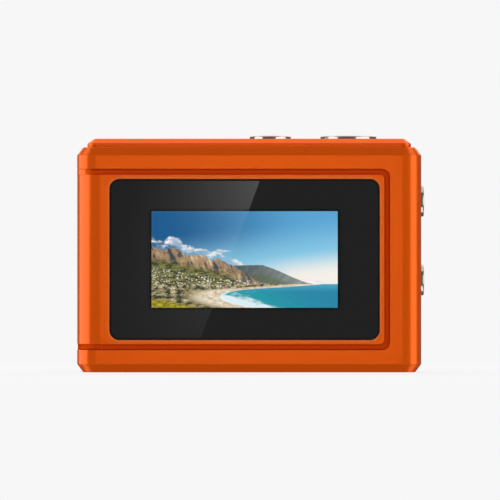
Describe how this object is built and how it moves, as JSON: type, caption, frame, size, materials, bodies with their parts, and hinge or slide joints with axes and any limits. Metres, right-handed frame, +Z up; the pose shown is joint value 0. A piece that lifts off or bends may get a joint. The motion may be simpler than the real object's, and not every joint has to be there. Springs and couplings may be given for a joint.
{
  "type": "action camera",
  "caption": "Compact orange action camera with a rear display, a round front lens, polished push buttons, a hinged battery door underneath and a hinged port door on the side",
  "frame": {"origin": "middle of the flat base, halfway across and halfway through the case, on the plane that the camera stands on", "axes": "X points right as seen by someone looking at the display, Y points to the lens side, Z points up to the shutter button"},
  "size_m": [0.0606, 0.0276, 0.0413],
  "materials": {
    "orange_shell": "semi-gloss orange, fine moulded texture",
    "grip_black": "matt black with raised ribs",
    "chrome_button": "polished",
    "lens_metal": "dark anodised, fine turned lines",
    "cover_glass": "polished flat glass",
    "black_print": "matt black ink",
    "lit_picture": "lit landscape picture",
    "white_diffuser": "white diffuser",
    "lens_glass": "coated optical glass",
    "lamp_pipe": "frosted light pipe",
    "black_barrel": "matt black, ridged",
    "sensor_die": "sensor die under glass",
    "board_green": "solder mask with traces",
    "flex_amber": "amber polyimide",
    "chip_black": "moulded chip package",
    "plain_steel": "plain steel",
    "spreader_aluminium": "stamped sheet",
    "brass_insert": "turned brass",
    "rubber_seal": "matt silicone rubber",
    "inner_plastic": "fine moulded grain",
    "battery_wrap": "shrink film"
  },
  "bodies": {
    "camera": {"rear_cover": "orange_shell", "main_body": "orange_shell", "top_plate": "orange_shell", "front_plate": "grip_black", "screen_panel": "orange_shell", "body_gasket": "rubber_seal", "case_screws": "plain_steel", "small_screws": "plain_steel", "cover_glass": "cover_glass", "glass_mask": "black_print", "display_panel": "lit_picture", "backlight": "white_diffuser", "lcd_frame": "plain_steel", "lcd_flex": "flex_amber", "lens_ring": "lens_metal", "ring_nut": "lens_metal", "window_glass": "lens_glass", "window_seal": "rubber_seal", "lens_barrel": "black_barrel", "lens_element_1": "lens_glass", "lens_element_2": "lens_glass", "lens_holder": "black_barrel", "image_sensor": "sensor_die", "sensor_board": "board_green", "lens_flex": "flex_amber", "main_board": "board_green", "processor": "chip_black", "heat_spreader": "spreader_aluminium", "speaker": "inner_plastic", "microphones": "plain_steel", "led_pipe": "lamp_pipe", "button_seals": "rubber_seal", "tact_switches": "plain_steel", "top_switch_board": "board_green", "side_switch_board": "board_green", "battery": "battery_wrap", "battery_bay": "inner_plastic", "battery_contacts": "brass_insert", "card_slot": "plain_steel", "memory_card": "inner_plastic", "battery_door_pin": "plain_steel", "port_door_pin": "plain_steel", "port_board": "board_green", "usb_port": "plain_steel", "hdmi_port": "plain_steel", "tripod_insert": "brass_insert"},
    "power_key": {"power_button": "chrome_button", "power_plunger": "inner_plastic"},
    "shutter_key": {"shutter_button": "chrome_button", "shutter_plunger": "inner_plastic"},
    "up_key": {"up_button": "chrome_button", "up_plunger": "inner_plastic"},
    "down_key": {"down_button": "chrome_button", "down_plunger": "inner_plastic"},
    "battery_lid": {"battery_door": "orange_shell", "battery_door_seal": "rubber_seal"},
    "lid_latch": {"battery_latch": "inner_plastic"},
    "port_lid": {"port_door": "orange_shell", "port_door_seal": "rubber_seal"}
  },
  "joints": [
    {"name": "power_press", "type": "slide", "parent": "camera", "child": "power_key", "axis": [0, 0, -1], "range_m": [0, 0.0003], "stiffness_N_per_m": 5000},
    {"name": "shutter_press", "type": "slide", "parent": "camera", "child": "shutter_key", "axis": [0, 0, -1], "range_m": [0, 0.0003], "stiffness_N_per_m": 5000},
    {"name": "up_press", "type": "slide", "parent": "camera", "child": "up_key", "axis": [-1, 0, 0], "range_m": [0, 0.0003], "stiffness_N_per_m": 5000},
    {"name": "down_press", "type": "slide", "parent": "camera", "child": "down_key", "axis": [-1, 0, 0], "range_m": [0, 0.0003], "stiffness_N_per_m": 5000},
    {"name": "battery_door_hinge", "type": "hinge", "parent": "camera", "child": "battery_lid", "pos_m": [0.0254, 0.003, 0.00085], "axis": [0, -1, 0], "range_deg": [0, 90]},
    {"name": "battery_latch_slide", "type": "slide", "parent": "battery_lid", "child": "lid_latch", "axis": [-1, 0, 0], "range_m": [0, 0.0013]},
    {"name": "port_door_hinge", "type": "hinge", "parent": "camera", "child": "port_lid", "pos_m": [-0.02915, 0.0066, 0.018], "axis": [0, 0, -1], "range_deg": [0, 90]}
  ]
}
